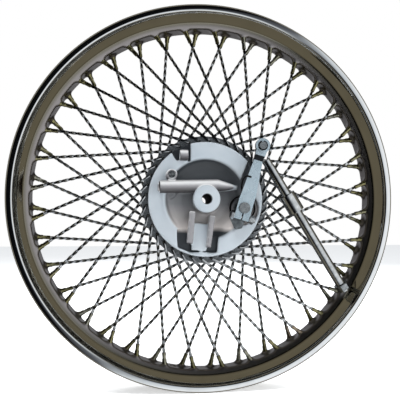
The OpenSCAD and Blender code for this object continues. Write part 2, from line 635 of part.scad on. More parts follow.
// where a shoe's end webs meet the table and the inner edge of the long web
function web_out(side) = (shoe_r - shoe_table_t / 2) * [side * cos(27.5), sin(27.5)];
function web_in(side) = (shoe_r - shoe_table_t - 9) * [side * cos(39.5), sin(39.5)];
module shoe(y_sign) {
    // y_sign turns the Y stations round when the shoe is flipped over
    front = y_sign > 0 ? shoe_front_y : -shoe_back_y;
    back = y_sign > 0 ? shoe_back_y : -shoe_front_y;
    web0 = y_sign > 0 ? web_front_y : -web_back_y;
    web1 = y_sign > 0 ? web_back_y : -web_front_y;
    difference() {
        union() {
            shoe_band(shoe_r - shoe_table_t, shoe_r - bond_gap, front, back, shoe_arc + 8);
            shoe_band(shoe_r - shoe_table_t - 10, shoe_r - shoe_table_t + 0.5, web0, web1, shoe_arc + 9);
            slab(web0, web1) polygon([[cam_place_r - 10, cam_t / 2 + 0.15],
                [cam_place_r + 5, cam_t / 2 + 0.15], web_out(1), web_in(1)]);
            slab(web0 - 2, web1 + 2) polygon([[cam_place_r - 10, cam_t / 2 + 0.15],
                [cam_place_r + 5, cam_t / 2 + 0.15], [cam_place_r + 5, cam_t / 2 + pad_h],
                [cam_place_r - 10, cam_t / 2 + pad_h]]);
            slab(web0 - 2, web1 + 2) polygon([[-cam_place_r - 9, 1.2], [-cam_place_r + 9, 1.2],
                [-cam_place_r + 10, 14], [-cam_place_r - 4, 14]]);
            slab(web0, web1) polygon([[-cam_place_r - 5, 3], [-cam_place_r + 10, 3],
                web_in(-1), web_out(-1)]);
        }
        translate([-cam_place_r, 0, 0]) bar_y(anchor_r + run_gap, -30, 30);
        for (x = [cam_place_r - hook_step, -cam_place_r + hook_step]) translate([x, 0, hook_z])
            bar_y(hook_hole_r, -30, 30);
    }
}
module brake_shoe_upper() color("lightgray") at_shoes(false) shoe(1);
module brake_shoe_lower() color("lightgray") at_shoes(true) shoe(-1);
module brake_lining_upper() color("#4a4038") at_shoes(false)
    shoe_band(shoe_r, lining_r, shoe_front_y, shoe_back_y, shoe_arc);
module brake_lining_lower() color("#4a4038") at_shoes(true)
    shoe_band(shoe_r, lining_r, -shoe_back_y, -shoe_front_y, shoe_arc);
hook_y = (web_front_y + web_back_y) / 2;  // the hooks stand through the webs here
coil_y = hook_y + 7.5;
hook_step = 16;                          // from the cam and from the anchor pin to the springs
hook_z = sqrt(pow(shoe_r - shoe_table_t - 6, 2) - pow(cam_place_r - hook_step, 2));
hook_hole_r = 2.5;
shoe_coil_r = 2.6;
shoe_wire_r = 0.7;
function hook_pts(s) = let (z = s > 0 ? hook_z : hook_z + 1.4) [[0, hook_y - 4, s * z], [0, hook_y, s * z],
    [0, coil_y - 3, s * (z - 0.3)], [0.5, coil_y - 1, s * (z - 2)], [1.2, coil_y - 0.2, s * (z - 5)],
    [2.4, coil_y, s * (z - 8)]];
module shoe_spring(x) color("#333333") rotate([0, -cam_face_tilt, 0]) translate([x, 0, 0])
    wire(concat(hook_pts(1), [for (i = [0 : 96]) let (a = i * 30)
        [shoe_coil_r * cos(a), coil_y + shoe_coil_r * sin(a), (hook_z - 11) * (1 - i / 48)]],
        [for (i = [5 : -1 : 0]) hook_pts(-1)[i]]), shoe_wire_r);
module shoe_spring_cam_end() shoe_spring(cam_place_r - hook_step);
module shoe_spring_pin_end() shoe_spring(-cam_place_r + hook_step);

// ---- loose axle ----
module axle_place(s) let (near = clock_pt(axle_near_r, axle_near_clock, axle_near_y))
    along(near + s * axle_run, near + (s + 1) * axle_run) children();
nut_from = axle_len - nut_end - nut_h - nut_flange_h;
module loose_axle() color("silver") {
    axle_place(0) cylinder(r1 = tip_r - 0.8, r2 = tip_r, h = 0.8);
    axle_place(0.7) cylinder(r = tip_r, h = tip_len - 0.7);
    axle_place(tip_len - 0.1) cylinder(r = groove_r, h = groove_w + 0.2);
    axle_place(tip_len + groove_w) cylinder(r = axle_r, h = axle_len - tip_len - groove_w);
}
module axle_nut() color("silver") axle_place(nut_from) difference() {
    union() {
        cylinder(r = nut_flange_r, h = nut_flange_h);
        cylinder(r = axle_flats / sqrt(3), h = nut_flange_h + nut_h, $fn = 6);
    }
    translate([0, 0, -cut]) cylinder(r = axle_r + press_gap, h = nut_flange_h + nut_h + 2 * cut);
}
module axle_collar() color("gray") axle_place(collar_from) difference() {
    cylinder(r = collar_r, h = collar_len);
    translate([0, 0, -cut]) cylinder(r = axle_r + run_gap, h = collar_len + 2 * cut);
}

rim();
spokes_brake_side();
spokes_plain_side();
nipples_brake_side();
nipples_plain_side();
hub_shell();
drum_liner();
bearing_outer_races();
bearing_inner_races();
bearing_balls();
bearing_cages();
distance_tube();
dust_seal();
speedo_drive_ring();
speedo_drive_gear();
speedo_gear_sleeve();
speedo_pinion();
speedo_pinion_bush();
speedo_bush_screw();
brake_panel();
brake_cam();
cam_felt_seal();
wear_indicator();
cam_return_spring();
brake_arm();
pinch_bolt();
pinch_washer();
pinch_nut();
cable_pin();
cable_pin_clip();
anchor_pin();
brake_shoe_upper();
brake_shoe_lower();
brake_lining_upper();
brake_lining_lower();
shoe_spring_cam_end();
shoe_spring_pin_end();
loose_axle();
axle_nut();
axle_collar();
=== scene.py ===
import json
import math
import bmesh
import bpy
from mathutils import Matrix, Vector

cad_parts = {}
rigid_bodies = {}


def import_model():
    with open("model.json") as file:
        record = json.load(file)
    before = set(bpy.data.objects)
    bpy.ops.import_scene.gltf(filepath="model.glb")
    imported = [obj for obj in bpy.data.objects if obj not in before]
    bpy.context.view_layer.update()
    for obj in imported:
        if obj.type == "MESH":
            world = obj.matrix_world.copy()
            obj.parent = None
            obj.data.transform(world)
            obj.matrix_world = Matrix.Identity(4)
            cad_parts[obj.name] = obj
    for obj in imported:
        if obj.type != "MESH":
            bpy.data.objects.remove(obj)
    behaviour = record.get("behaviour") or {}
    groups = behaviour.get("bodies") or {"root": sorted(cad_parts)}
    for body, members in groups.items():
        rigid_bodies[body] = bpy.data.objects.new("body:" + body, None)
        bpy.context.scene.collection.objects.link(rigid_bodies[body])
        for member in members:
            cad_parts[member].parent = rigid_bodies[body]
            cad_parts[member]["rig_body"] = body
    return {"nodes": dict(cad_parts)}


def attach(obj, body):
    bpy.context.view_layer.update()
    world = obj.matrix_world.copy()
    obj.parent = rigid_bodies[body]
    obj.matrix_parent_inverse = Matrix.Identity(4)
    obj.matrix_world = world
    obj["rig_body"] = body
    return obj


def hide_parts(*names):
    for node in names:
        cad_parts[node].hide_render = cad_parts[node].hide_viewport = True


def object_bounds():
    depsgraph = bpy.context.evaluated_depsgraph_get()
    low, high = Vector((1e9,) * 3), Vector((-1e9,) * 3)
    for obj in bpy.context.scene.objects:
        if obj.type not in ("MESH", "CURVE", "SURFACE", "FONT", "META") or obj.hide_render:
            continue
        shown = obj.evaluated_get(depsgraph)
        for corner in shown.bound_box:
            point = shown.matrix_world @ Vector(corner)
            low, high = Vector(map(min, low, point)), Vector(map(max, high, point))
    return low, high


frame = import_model()
cad_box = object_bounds()
nodes = frame["nodes"]
MM = 0.001

# ---- camera ----
# Stands close in front of the brake panel, a little left of the axle line and a little
# below it, so that the rim's front edge looks larger than its back edge.
camera_azimuth, camera_height_angle, camera_distance = -6.448, -3.0, 0.6
sensor_azimuth, sensor_tilt = -5.559, 0.575
frame_side = 400
wheel_centre_u, wheel_centre_v = 203.624, 200.422
scale_at_wheel = 771.0


def from_front(azimuth, elevation):
    a, e = math.radians(azimuth), math.radians(elevation)
    return Vector((math.sin(a) * math.cos(e), -math.cos(a) * math.cos(e), math.sin(e)))


eye = camera_distance * from_front(camera_azimuth, camera_height_angle)
back = from_front(sensor_azimuth, sensor_tilt)
right = Vector((math.cos(math.radians(sensor_azimuth)), math.sin(math.radians(sensor_azimuth)), 0))
up = back.cross(right)
depth = eye.dot(back)
focal = scale_at_wheel * depth
offset_u, offset_v = focal * (-eye).dot(right) / depth, focal * (-eye).dot(up) / depth
camera = bpy.data.cameras.new("camera")
camera.sensor_width = 36
camera.lens = focal * camera.sensor_width / frame_side
camera.shift_x = (frame_side / 2 + offset_u - wheel_centre_u) / frame_side
camera.shift_y = (wheel_centre_v - frame_side / 2 + offset_v) / frame_side
camera_object = bpy.data.objects.new("camera", camera)
camera_object.matrix_world = Matrix((
    (right.x, up.x, back.x, eye.x), (right.y, up.y, back.y, eye.y),
    (right.z, up.z, back.z, eye.z), (0, 0, 0, 1)))
bpy.context.scene.collection.objects.link(camera_object)
bpy.context.scene.camera = camera_object


# ---- studio ----
# A bright tent round the wheel, dark behind the camera's upper left and olive grey at the
# sides, as chrome is lit in a light box, with three soft lamps and a pale floor.
def linear(code):
    parts = [int(code[i:i + 2], 16) / 255 for i in (1, 3, 5)]
    return [c / 12.92 if c <= 0.04045 else ((c + 0.055) / 1.055) ** 2.4 for c in parts] + [1]


def add(tree, kind, inputs=None, stops=None, **settings):
    made = tree.nodes.new(kind)
    for name, value in settings.items():
        setattr(made, name, value)
    for name, value in (inputs or {}).items():
        if isinstance(value, bpy.types.NodeSocket):
            tree.links.new(value, made.inputs[name])
        else:
            made.inputs[name].default_value = value
    for index, (place, code) in enumerate(stops or ()):
        points = made.color_ramp.elements
        point = points[index] if index < len(points) else points.new(place)
        point.position, point.color = place, linear(code)
    return made


world = bpy.data.worlds.new("tent")
world.use_nodes = True
bpy.context.scene.world = world
sky = world.node_tree
sky.nodes.clear()
direction = add(sky, "ShaderNodeTexCoord").outputs["Generated"]
towards_light = add(sky, "ShaderNodeVectorMath", {0: direction, 1: (0.86, 0.0, -0.51)},
                    operation="DOT_PRODUCT").outputs["Value"]
tent = add(sky, "ShaderNodeValToRGB", {"Fac": add(
    sky, "ShaderNodeMapRange", {"Value": towards_light, "From Min": -1.0}).outputs[0]},
    stops=[(0.0, "#050506"), (0.46, "#0c0d0e"), (0.52, "#5a5c60"), (0.57, "#d5dadd"),
           (0.66, "#f4f6f7")])
depthwise = add(sky, "ShaderNodeSeparateXYZ", {"Vector": direction}).outputs["Y"]
# olive grey cloth at the sides, and black behind the wheel, which outlines every wire
to_sides = add(sky, "ShaderNodeMapRange", {
    "Value": depthwise, "From Min": -0.5, "From Max": -0.38}).outputs[0]
sides = add(sky, "ShaderNodeMixRGB", {"Fac": to_sides, "Color1": tent.outputs["Color"],
                                       "Color2": linear("#827d70")}).outputs["Color"]
to_back = add(sky, "ShaderNodeMapRange", {
    "Value": depthwise, "From Min": 0.36, "From Max": 0.55}).outputs[0]
outlined = add(sky, "ShaderNodeMixRGB", {"Fac": to_back, "Color1": sides,
                                          "Color2": linear("#08080a")}).outputs["Color"]
to_ground = add(sky, "ShaderNodeMapRange", {
    "Value": depthwise, "From Min": 0.8, "From Max": 0.9}).outputs[0]
round_wheel = add(sky, "ShaderNodeMixRGB", {"Fac": to_ground, "Color1": outlined,
                                             "Color2": linear("#a3a4a5")}).outputs["Color"]
paths = add(sky, "ShaderNodeLightPath").outputs
soft = add(sky, "ShaderNodeMixRGB", {"Fac": paths["Is Glossy Ray"], "Color1": linear("#8b9197"),
                                      "Color2": round_wheel}).outputs["Color"]
surround = add(sky, "ShaderNodeMixRGB", {"Fac": paths["Is Camera Ray"], "Color1": soft,
                                          "Color2": linear("#ffffff")}).outputs["Color"]
add(sky, "ShaderNodeOutputWorld", {"Surface": add(
    sky, "ShaderNodeBackground", {"Color": surround, "Strength": 1.0}).outputs[0]})

# each lamp's name, place in metres, size in metres and power in watts
soft_lamps = (("key", (-0.35, -0.6, 1.5), 0.5, 28),
              ("fill", (1.1, -1.0, 0.2), 0.8, 8),
              ("rear", (0.5, 1.3, 0.9), 0.8, 22))
for name, place, size, power in soft_lamps:
    lamp = bpy.data.lights.new(name, "AREA")
    lamp.size = size
    lamp.energy = power
    lamp_object = bpy.data.objects.new(name, lamp)
    lamp_object.location = place
    lamp_object.visible_glossy = False
    lamp_object.rotation_euler = (-Vector(place)).to_track_quat("-Z", "Y").to_euler()
    bpy.context.scene.collection.objects.link(lamp_object)
bpy.context.scene.view_settings.view_transform = "Standard"


def start_finish(name, metallic, roughness):
    """A material with its shader, and the place of a point on the object."""
    made = bpy.data.materials.new(name)
    made.use_nodes = True
    tree = made.node_tree
    tree.nodes.clear()
    shader = add(tree, "ShaderNodeBsdfPrincipled", {"Metallic": metallic, "Roughness": roughness})
    add(tree, "ShaderNodeOutputMaterial", {"Surface": shader.outputs[0]})
    return made, tree, shader.inputs, add(tree, "ShaderNodeTexCoord").outputs["Object"]


def make_piece(name, mesh_maker, finish, smooth_to=34):
    mesh = bpy.data.meshes.new(name)
    mesh_maker.to_mesh(mesh)
    mesh_maker.free()
    for face in mesh.polygons:
        face.use_smooth = True
    mesh.set_sharp_from_angle(angle=math.radians(smooth_to))
    mesh.materials.append(finish)
    piece = bpy.data.objects.new(name, mesh)
    bpy.context.scene.collection.objects.link(piece)
    return piece


floor_finish, tree, shader, place = start_finish("white_paper_roll", 0, 0.9)
fibre = add(tree, "ShaderNodeTexNoise", {"Vector": place, "Scale": 900.0, "Detail": 2.0})
paper = add(tree, "ShaderNodeValToRGB", {"Fac": fibre.outputs[0]},
            stops=[(0.3, "#f6f6f5"), (0.7, "#fbfbfb")])
tree.links.new(paper.outputs["Color"], shader["Base Color"])
shader["Emission Color"].default_value = linear("#ffffff")
shader["Emission Strength"].default_value = 0.55
sheet = bmesh.new()
bmesh.ops.create_grid(sheet, x_segments=8, y_segments=8, size=4.0)
bmesh.ops.translate(sheet, verts=sheet.verts, vec=(0, 0, cad_box[0][2]))
paper_floor = make_piece("paper_floor", sheet, floor_finish)
paper_floor.visible_glossy = False

# ---- rim ----
# One strip of steel rolled to a deep channel with curled edges, dimpled towards the hub at
# each of its 72 spoke holes, and chrome plated: bright on the curls, browner on the walls.
SIDE_SPOKES = 36
bed_r, bed_half, rim_strip = 217.5, 8.6, 1.9
hole_offset, dimple_reach, dimple_depth = 5.0, 7.5, 3.6
phases = {-1: 3.5, 1: 7.6}
valve_clock, valve_r = 190.5, 4.2

# half of the strip's hub side, from the middle of the bed round the curl: across, and radius
half_section = [(0, bed_r), (2.5, bed_r), (4, bed_r), (5, bed_r), (6, bed_r), (7.4, bed_r),
                (bed_half, bed_r + 0.15), (9.6, bed_r + 0.9), (10.3, bed_r + 2.1),
                (11.3, bed_r + 4.6), (11.8, 223.3), (12.5, 224.1), (13.4, 224.9), (18, 228.9),
                (22, 232.3), (23.4, 233), (24.3, 233.6), (24.7, 234.2), (24.9, 235.4), (25, 237),
                (25, 238.6), (24.8, 240), (24.2, 241.3), (23.1, 242.2), (21.5, 242.5),
                (19.5, 242.3), (17.9, 241.4), (16.9, 240), (16.8, 238.4), (17.5, 237)]
strip = bmesh.new()
section = [strip.verts.new((0, -y * MM, r * MM)) for y, r in half_section[:0:-1]]
section += [strip.verts.new((0, y * MM, r * MM)) for y, r in half_section]
edges = [strip.edges.new(pair) for pair in zip(section, section[1:])]
bmesh.ops.spin(strip, geom=section + edges, cent=(0, 0, 0), axis=(0, 1, 0), angle=2 * math.pi,
               steps=720, use_merge=True)
bmesh.ops.remove_doubles(strip, verts=strip.verts, dist=1e-6)
for v in strip.verts:
    r, y = math.hypot(v.co.x, v.co.z), v.co.y / MM
    if abs(y) > bed_half + 0.5 or r > (bed_r + 2) * MM:
        continue
    clock = math.degrees(math.atan2(v.co.x, v.co.z))
    dip = 0
    for side, phase in phases.items():
        off = (clock - phase + 5) % 10 - 5
        near = math.hypot(y - side * hole_offset, math.radians(off) * bed_r) / dimple_reach
        if near < 1:
            dip = max(dip, dimple_depth * (1 - near * near) ** 2)
    v.co.x, v.co.z = v.co.x * (1 - dip * MM / r), v.co.z * (1 - dip * MM / r)
bmesh.ops.recalc_face_normals(strip, faces=strip.faces)

chrome, tree, shader, place = start_finish("chrome_plate", 1.0, 0.1)
flat_place = add(tree, "ShaderNodeVectorMath", {0: place, 1: (1, 0, 1)},
                 operation="MULTIPLY").outputs[0]
radius = add(tree, "ShaderNodeVectorMath", {0: flat_place}, operation="LENGTH").outputs["Value"]
# thin plate and brown stain on the walls and the bed, thick bright plate on the curls
bed_radius, curl_radius = 0.214, 0.2425
across_strip = add(tree, "ShaderNodeMapRange", {
    "Value": radius, "From Min": bed_radius, "From Max": curl_radius}).outputs[0]
plate = add(tree, "ShaderNodeValToRGB", {"Fac": across_strip}, stops=[
    (0.0, "#a9a5a8"), (0.2, "#9d9897"), (0.33, "#7c786c"), (0.4, "#b5b1a2"), (0.62, "#b0ac9f"),
    (0.66, "#d9d9d7"), (0.72, "#eef0f2"), (1.0, "#f1f3f5")])
film = add(tree, "ShaderNodeTexNoise", {"Vector": place, "Scale": 30.0, "Detail": 2.0}).outputs[0]
stain = add(tree, "ShaderNodeMapRange", {"Value": film, "From Min": 0.45, "From Max": 0.75,
                                          "To Max": 0.12}, clamp=True).outputs[0]
stained = add(tree, "ShaderNodeMixRGB", {"Fac": stain, "Color1": plate.outputs["Color"],
                                          "Color2": linear("#55503f")})
tree.links.new(stained.outputs["Color"], shader["Base Color"])
haze = add(tree, "ShaderNodeMapRange", {"Value": film, "To Min": 0.03, "To Max": 0.06}).outputs[0]
in_well = add(tree, "ShaderNodeMapRange", {"Value": across_strip, "From Min": 0.37, "From Max": 0.3,
                                            "To Max": 0.3}).outputs[0]
tree.links.new(add(tree, "ShaderNodeMath", {0: haze, 1: in_well}, operation="ADD").outputs[0],
               shader["Roughness"])
rim = make_piece("rolled_rim", strip, chrome)
wall = rim.modifiers.new("strip", "SOLIDIFY")
wall.thickness = rim_strip * MM
wall.offset = -1
valve_cutter = bmesh.new()
bmesh.ops.create_cone(valve_cutter, cap_ends=True, segments=32, radius1=valve_r * MM,
                      radius2=valve_r * MM, depth=14 * MM)
bmesh.ops.translate(valve_cutter, verts=valve_cutter.verts, vec=(0, 0, bed_r * MM))
bmesh.ops.rotate(valve_cutter, verts=valve_cutter.verts, cent=(0, 0, 0),
                 matrix=Matrix.Rotation(math.radians(valve_clock), 3, "Y"))
cutter = make_piece("valve_cutter", valve_cutter, chrome)
hole = rim.modifiers.new("valve_hole", "BOOLEAN")
hole.object, hole.operation, hole.solver = cutter, "DIFFERENCE", "EXACT"


def settle(piece):
    """Applies a piece's modifiers."""
    bpy.context.view_layer.update()
    shaped = bpy.data.meshes.new_from_object(
        piece.evaluated_get(bpy.context.evaluated_depsgraph_get()))
    piece.modifiers.clear()
    piece.data = shaped
    return piece


settle(rim)
bpy.data.objects.remove(cutter)
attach(rim, "wheel")
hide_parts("rim")

# ---- spokes ----
# Square steel wire, twisted cold along most of its length and zinc plated, with a round
# threaded end in the nipple and a round elbow and button head through the hub's flange.
spoke_r, spoke_lean, flange_t = 1.7, 41.0, 4.0
# for each side, the radius of its spoke holes and the outer face of its flange
hub_holes = {-1: (74.0, -15.5), 1: (72.0, 18.5)}
flange_edge = 6.0
plain_hole_r, plain_flange_y = hub_holes[1]
drop = (flange_edge * (plain_flange_y + spoke_r - hole_offset)
        / (bed_r * math.cos(math.radians(spoke_lean)) - plain_hole_r))
spoke_stand = spoke_r + drop + 0.1
elbow_r, elbow_steps = 2.4, 6
twist_step, twist_per_step = 1.75, math.radians(17.5)
square_corner, square_flat = 1.13, 0.86
round_at_hub, round_at_rim, to_square = 9.0, 20.0, 2.0
head_t, head_flare = 2.0, 1.35


def clock_point(r, clock, y):
    a = math.radians(clock)
    return Vector((r * math.sin(a), y, r * math.cos(a))) * MM


def spoke_ends(side):
    r, flange_y = hub_holes[side]
    phase = phases[side]
    return (clock_point(r, phase - side * spoke_lean, flange_y + side * spoke_stand),
            clock_point(bed_r, phase, side * hole_offset))


def turned_to(forward, sideways):
    """The turn that stands Z along forward, with X towards sideways."""
    z = forward.normalized()
    x = (sideways - sideways.dot(z) * z).normalized()
    y = z.cross(x)
    return Matrix(((x.x, y.x, z.x), (x.y, y.y, z.y), (x.z, y.z, z.z)))


def pull(shape, ring, offset, scale=1.0):
    """Draws a ring of edges out by offset, and makes its end wider or narrower."""
    out = bmesh.ops.extrude_edge_only(shape, edges=ring)["geom"]
    verts = [g for g in out if isinstance(g, bmesh.types.BMVert)]
    bmesh.ops.translate(shape, verts=verts, vec=offset)
    centre = sum((v.co for v in verts), Vector()) / len(verts)
    bmesh.ops.scale(shape, verts=verts, vec=(scale, scale, scale),
                    space=Matrix.Translation(-centre))
    return [g for g in out if isinstance(g, bmesh.types.BMEdge) and g.is_boundary], verts


def all_round(shape):
    """Copies a shape round the axle line, once for each spoke of a side."""
    bmesh.ops.spin(shape, geom=shape.verts[:] + shape.edges[:] + shape.faces[:], cent=(0, 0, 0),
                   axis=(0, 1, 0), angle=2 * math.pi * (SIDE_SPOKES - 1) / SIDE_SPOKES,
                   steps=SIDE_SPOKES - 1, use_duplicate=True)


zinc_wire, tree, shader, place = start_finish("zinc_plated_wire", 1.0, 0.2)
patches = add(tree, "ShaderNodeTexNoise", {
    "Vector": place, "Scale": 60.0, "Detail": 5.0}).outputs[0]
wire_tone = add(tree, "ShaderNodeValToRGB", {"Fac": patches}, stops=[
    (0.3, "#74767a"), (0.5, "#a3a6a9"), (0.75, "#dcdee0")])
tree.links.new(wire_tone.outputs["Color"], shader["Base Color"])
dull = add(tree, "ShaderNodeMapRange", {
    "Value": patches, "To Min": 0.08, "To Max": 0.24}).outputs[0]
tree.links.new(dull, shader["Roughness"])

for side, name in ((-1, "spokes_brake_side"), (1, "spokes_plain_side")):
    hub_end, rim_end = spoke_ends(side)
    along = rim_end - hub_end
    stem = Vector((0, -side, 0))
    turn = turned_to(along, stem)
    # in the spoke's own frame Z runs to the rim and the stem lies in the plane of X and Z
    stem_here = turn.transposed() @ stem
    forward = Vector((0, 0, 1))
    bend = math.pi - stem_here.angle(forward)
    tangent = elbow_r * MM * math.tan(bend / 2)
    pivot = (stem_here + forward).normalized() * elbow_r * MM / math.cos(bend / 2)
    spoke = bmesh.new()
    head_depth = (spoke_stand + flange_t) * MM
    bmesh.ops.create_circle(spoke, cap_ends=True, segments=8, radius=(spoke_r + 0.6) * MM)
    bmesh.ops.rotate(spoke, verts=spoke.verts, cent=(0, 0, 0),
                     matrix=forward.rotation_difference(-stem_here).to_matrix())
    bmesh.ops.translate(spoke, verts=spoke.verts, vec=stem_here * (head_depth + head_t * MM))
    ring = spoke.edges[:]
    ring, _ = pull(spoke, ring, -stem_here * 0.6 * MM, head_flare)
    ring, _ = pull(spoke, ring, -stem_here * 1.0 * MM)
    ring, _ = pull(spoke, ring, -stem_here * 0.4 * MM, spoke_r / ((spoke_r + 0.6) * head_flare))
    ring, _ = pull(spoke, ring, -stem_here * (head_depth - tangent))
    elbow = bmesh.ops.spin(spoke, geom=ring, cent=pivot, axis=stem_here.cross(forward).normalized(),
                           angle=-bend, steps=elbow_steps)
    ring = [g for g in elbow["geom_last"] if isinstance(g, bmesh.types.BMEdge)]
    ring, _ = pull(spoke, ring, forward * (round_at_hub * MM - tangent))
    ring, verts = pull(spoke, ring, forward * to_square * MM)
    middle = sum((v.co for v in verts), Vector()) / len(verts)
    by_angle = sorted(verts, key=lambda v: math.atan2((v.co - middle).y, (v.co - middle).x))
    for index, v in enumerate(by_angle):
        v.co = middle + (v.co - middle) * (square_corner if index % 2 else square_flat)
    twisted = along.length - (round_at_hub + to_square + round_at_rim) * MM
    steps = round(twisted / (twist_step * MM))
    wound = bmesh.ops.spin(spoke, geom=ring, cent=middle, axis=forward,
                           angle=side * twist_per_step * steps, steps=steps,
                           dvec=forward * twisted / steps)
    ring = [g for g in wound["geom_last"] if isinstance(g, bmesh.types.BMEdge)]
    ring, verts = pull(spoke, ring, forward * to_square * MM)
    middle = sum((v.co for v in verts), Vector()) / len(verts)
    for v in verts:
        v.co = middle + (v.co - middle).normalized() * spoke_r * MM
    pull(spoke, ring, forward * (round_at_rim - 1) * MM)
    bmesh.ops.transform(spoke, verts=spoke.verts,
                        matrix=Matrix.Translation(hub_end) @ turn.to_4x4())
    bmesh.ops.recalc_face_normals(spoke, faces=spoke.faces)
    all_round(spoke)
    piece = make_piece("twisted_" + name, spoke, zinc_wire)
    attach(piece, "wheel")
    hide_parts(name)

# ---- nipples ----
# Steel screws with a bore for the spoke's thread: a rounded head seated in the rim's dimple
# and a shank with wrench flats, zinc plated with a yellow pass that has worn off unevenly.
nipple_r, nipple_len, nipple_head_r = 2.85, 17.0, 3.7
wrench_half, wrench_from, wrench_to = 2.25, -13.2, -8.2
# height from the rim's bed and radius, from the wrench end to the top of the head
nipple_steps = [(-nipple_len, 2.0), (-nipple_len + 0.3, 2.45), (-13.4, 2.45), (-13.0, nipple_r),
                (-8.5, nipple_r), (-8.0, nipple_r), (-4.5, nipple_r), (-3.2, 3.2),
                (-1.8, nipple_head_r), (-0.6, nipple_head_r), (0.2, 3.2), (0.5, 2.2)]
nipple_plate, tree, shader, place = start_finish("yellow_zinc_plate", 1.0, 0.3)
parts = add(tree, "ShaderNodeSeparateXYZ", {"Vector": place}).outputs
clock = add(tree, "ShaderNodeMath", {0: parts["X"], 1: parts["Z"]}, operation="ARCTAN2").outputs[0]
count = add(tree, "ShaderNodeMath", {0: clock, 1: SIDE_SPOKES / (2 * math.pi), 2: 0.24},
            operation="MULTIPLY_ADD").outputs[0]
number = add(tree, "ShaderNodeMath", {0: count}, operation="ROUND").outputs[0]
own = add(tree, "ShaderNodeTexWhiteNoise", {"W": number}, noise_dimensions="1D").outputs["Value"]
# each nipple has its own tone, from olive and brass to nearly bare zinc, and one is coppery
nipple_tone = add(tree, "ShaderNodeValToRGB", {"Fac": own}, stops=[
    (0.0, "#6f6a38"), (0.35, "#8d8650"), (0.6, "#a39c66"), (0.75, "#a09f8c"), (0.93, "#b5b5b0"),
    (1.0, "#b97a4c")])
rub = add(tree, "ShaderNodeTexNoise", {"Vector": place, "Scale": 300.0, "Detail": 3.0}).outputs[0]
# at the nipples this mixes in wear only, with no painted light
wear_and_painted_light = add(tree, "ShaderNodeMixRGB", {"Fac": rub, "Color1": nipple_tone.outputs["Color"],
                                         "Color2": linear("#8f8c76")})
tree.links.new(wear_and_painted_light.outputs["Color"], shader["Base Color"])
worn_dull = add(tree, "ShaderNodeMapRange", {
    "Value": rub, "To Min": 0.2, "To Max": 0.42}).outputs[0]
tree.links.new(worn_dull, shader["Roughness"])

for side, name in ((-1, "nipples_brake_side"), (1, "nipples_plain_side")):
    hub_end, rim_end = spoke_ends(side)
    turn = turned_to(rim_end - hub_end, Vector((0, 1, 0)))
    nipple = bmesh.new()
    bmesh.ops.create_circle(nipple, cap_ends=True, segments=16, radius=nipple_steps[0][1] * MM)
    bmesh.ops.translate(nipple, verts=nipple.verts, vec=(0, 0, nipple_steps[0][0] * MM))
    ring = nipple.edges[:]
    for (z0, r0), (z1, r1) in zip(nipple_steps, nipple_steps[1:]):
        ring, verts = pull(nipple, ring, Vector((0, 0, (z1 - z0) * MM)), r1 / r0)
    bmesh.ops.holes_fill(nipple, edges=ring)
    for v in nipple.verts:
        if wrench_from < v.co.z / MM < wrench_to:
            reach = max(abs(v.co.x), abs(v.co.y))
            if reach > wrench_half * MM:
                v.co.x, v.co.y = (v.co.x * wrench_half * MM / reach,
                                  v.co.y * wrench_half * MM / reach)
    bmesh.ops.transform(nipple, verts=nipple.verts,
                        matrix=Matrix.Translation(rim_end) @ turn.to_4x4())
    bmesh.ops.recalc_face_normals(nipple, faces=nipple.faces)
    all_round(nipple)
    piece = make_piece(name + "_plated", nipple, nipple_plate)
    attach(piece, "wheel")
    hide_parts(name)


# ---- hub, drum and what turns inside it ----
# A die-cast aluminium hub with an iron liner cast in, running on two ball bearings. The
# drum and bearings are closed in by the brake panel, so little of them shows.
def speckled(name, stops, metallic, roughness, grain, relief):
    """A finish whose tone, gloss and height wander with a grain of that many millimetres."""
    made, tree, shader, place = start_finish(name, metallic, roughness)
    noise = add(tree, "ShaderNodeTexNoise", {
        "Vector": place, "Scale": 1 / (grain * MM), "Detail": 1.5}).outputs[0]
    tone = add(tree, "ShaderNodeValToRGB", {"Fac": noise}, stops=stops)
    tree.links.new(tone.outputs["Color"], shader["Base Color"])
    dullness = add(tree, "ShaderNodeMapRange", {
        "Value": noise, "To Min": roughness * 0.7, "To Max": min(1.0, roughness * 1.35)})
    tree.links.new(dullness.outputs[0], shader["Roughness"])
    tree.links.new(add(tree, "ShaderNodeBump", {
        "Height": noise, "Distance": relief * MM, "Strength": 0.2}).outputs[0], shader["Normal"])
    return made


def wear(node, finish):
    """Gives a part kept from the CAD model its finish."""
    nodes[node].data.materials.clear()
    nodes[node].data.materials.append(finish)


cast_aluminium = speckled("cast_aluminium",
                          [(0.3, "#5a5d61"), (0.55, "#7b7f83"), (0.8, "#9da1a5")],
                          0.8, 0.38, 1.6, 0.08)
turned_iron = speckled("turned_cast_iron",
                       [(0.3, "#2e2d2c"), (0.7, "#57544f")], 0.9, 0.45, 1.2, 0.05)
ground_steel = speckled("ground_bearing_steel",
                        [(0.3, "#8d9196"), (0.7, "#b9bdc2")], 1.0, 0.16, 4.0, 0.01)
pressed_steel = speckled("oiled_pressed_steel",
                         [(0.3, "#6f6450"), (0.7, "#94886c")], 1.0, 0.35, 1.5, 0.02)
turned_steel = speckled("turned_steel", [(0.3, "#7b7d80"), (0.7, "#a3a6a9")], 1.0, 0.3, 2.0, 0.02)
seal_rubber = speckled("nitrile_rubber", [(0.3, "#121212"), (0.7, "#262626")], 0.0, 0.62, 0.8, 0.04)
natural_nylon = speckled("natural_nylon",
                         [(0.3, "#cfc8ae"), (0.7, "#e6e0cb")], 0.0, 0.42, 1.5, 0.02)
oiled_bronze = speckled("oiled_sintered_bronze",
                        [(0.3, "#2a2018"), (0.7, "#4a3726")], 0.8, 0.45, 0.7, 0.03)
moulded_lining = speckled("moulded_brake_lining",
                          [(0.3, "#2f2924"), (0.6, "#4b4138"), (0.8, "#7c6a55")],
                          0.1, 0.8, 0.9, 0.08)
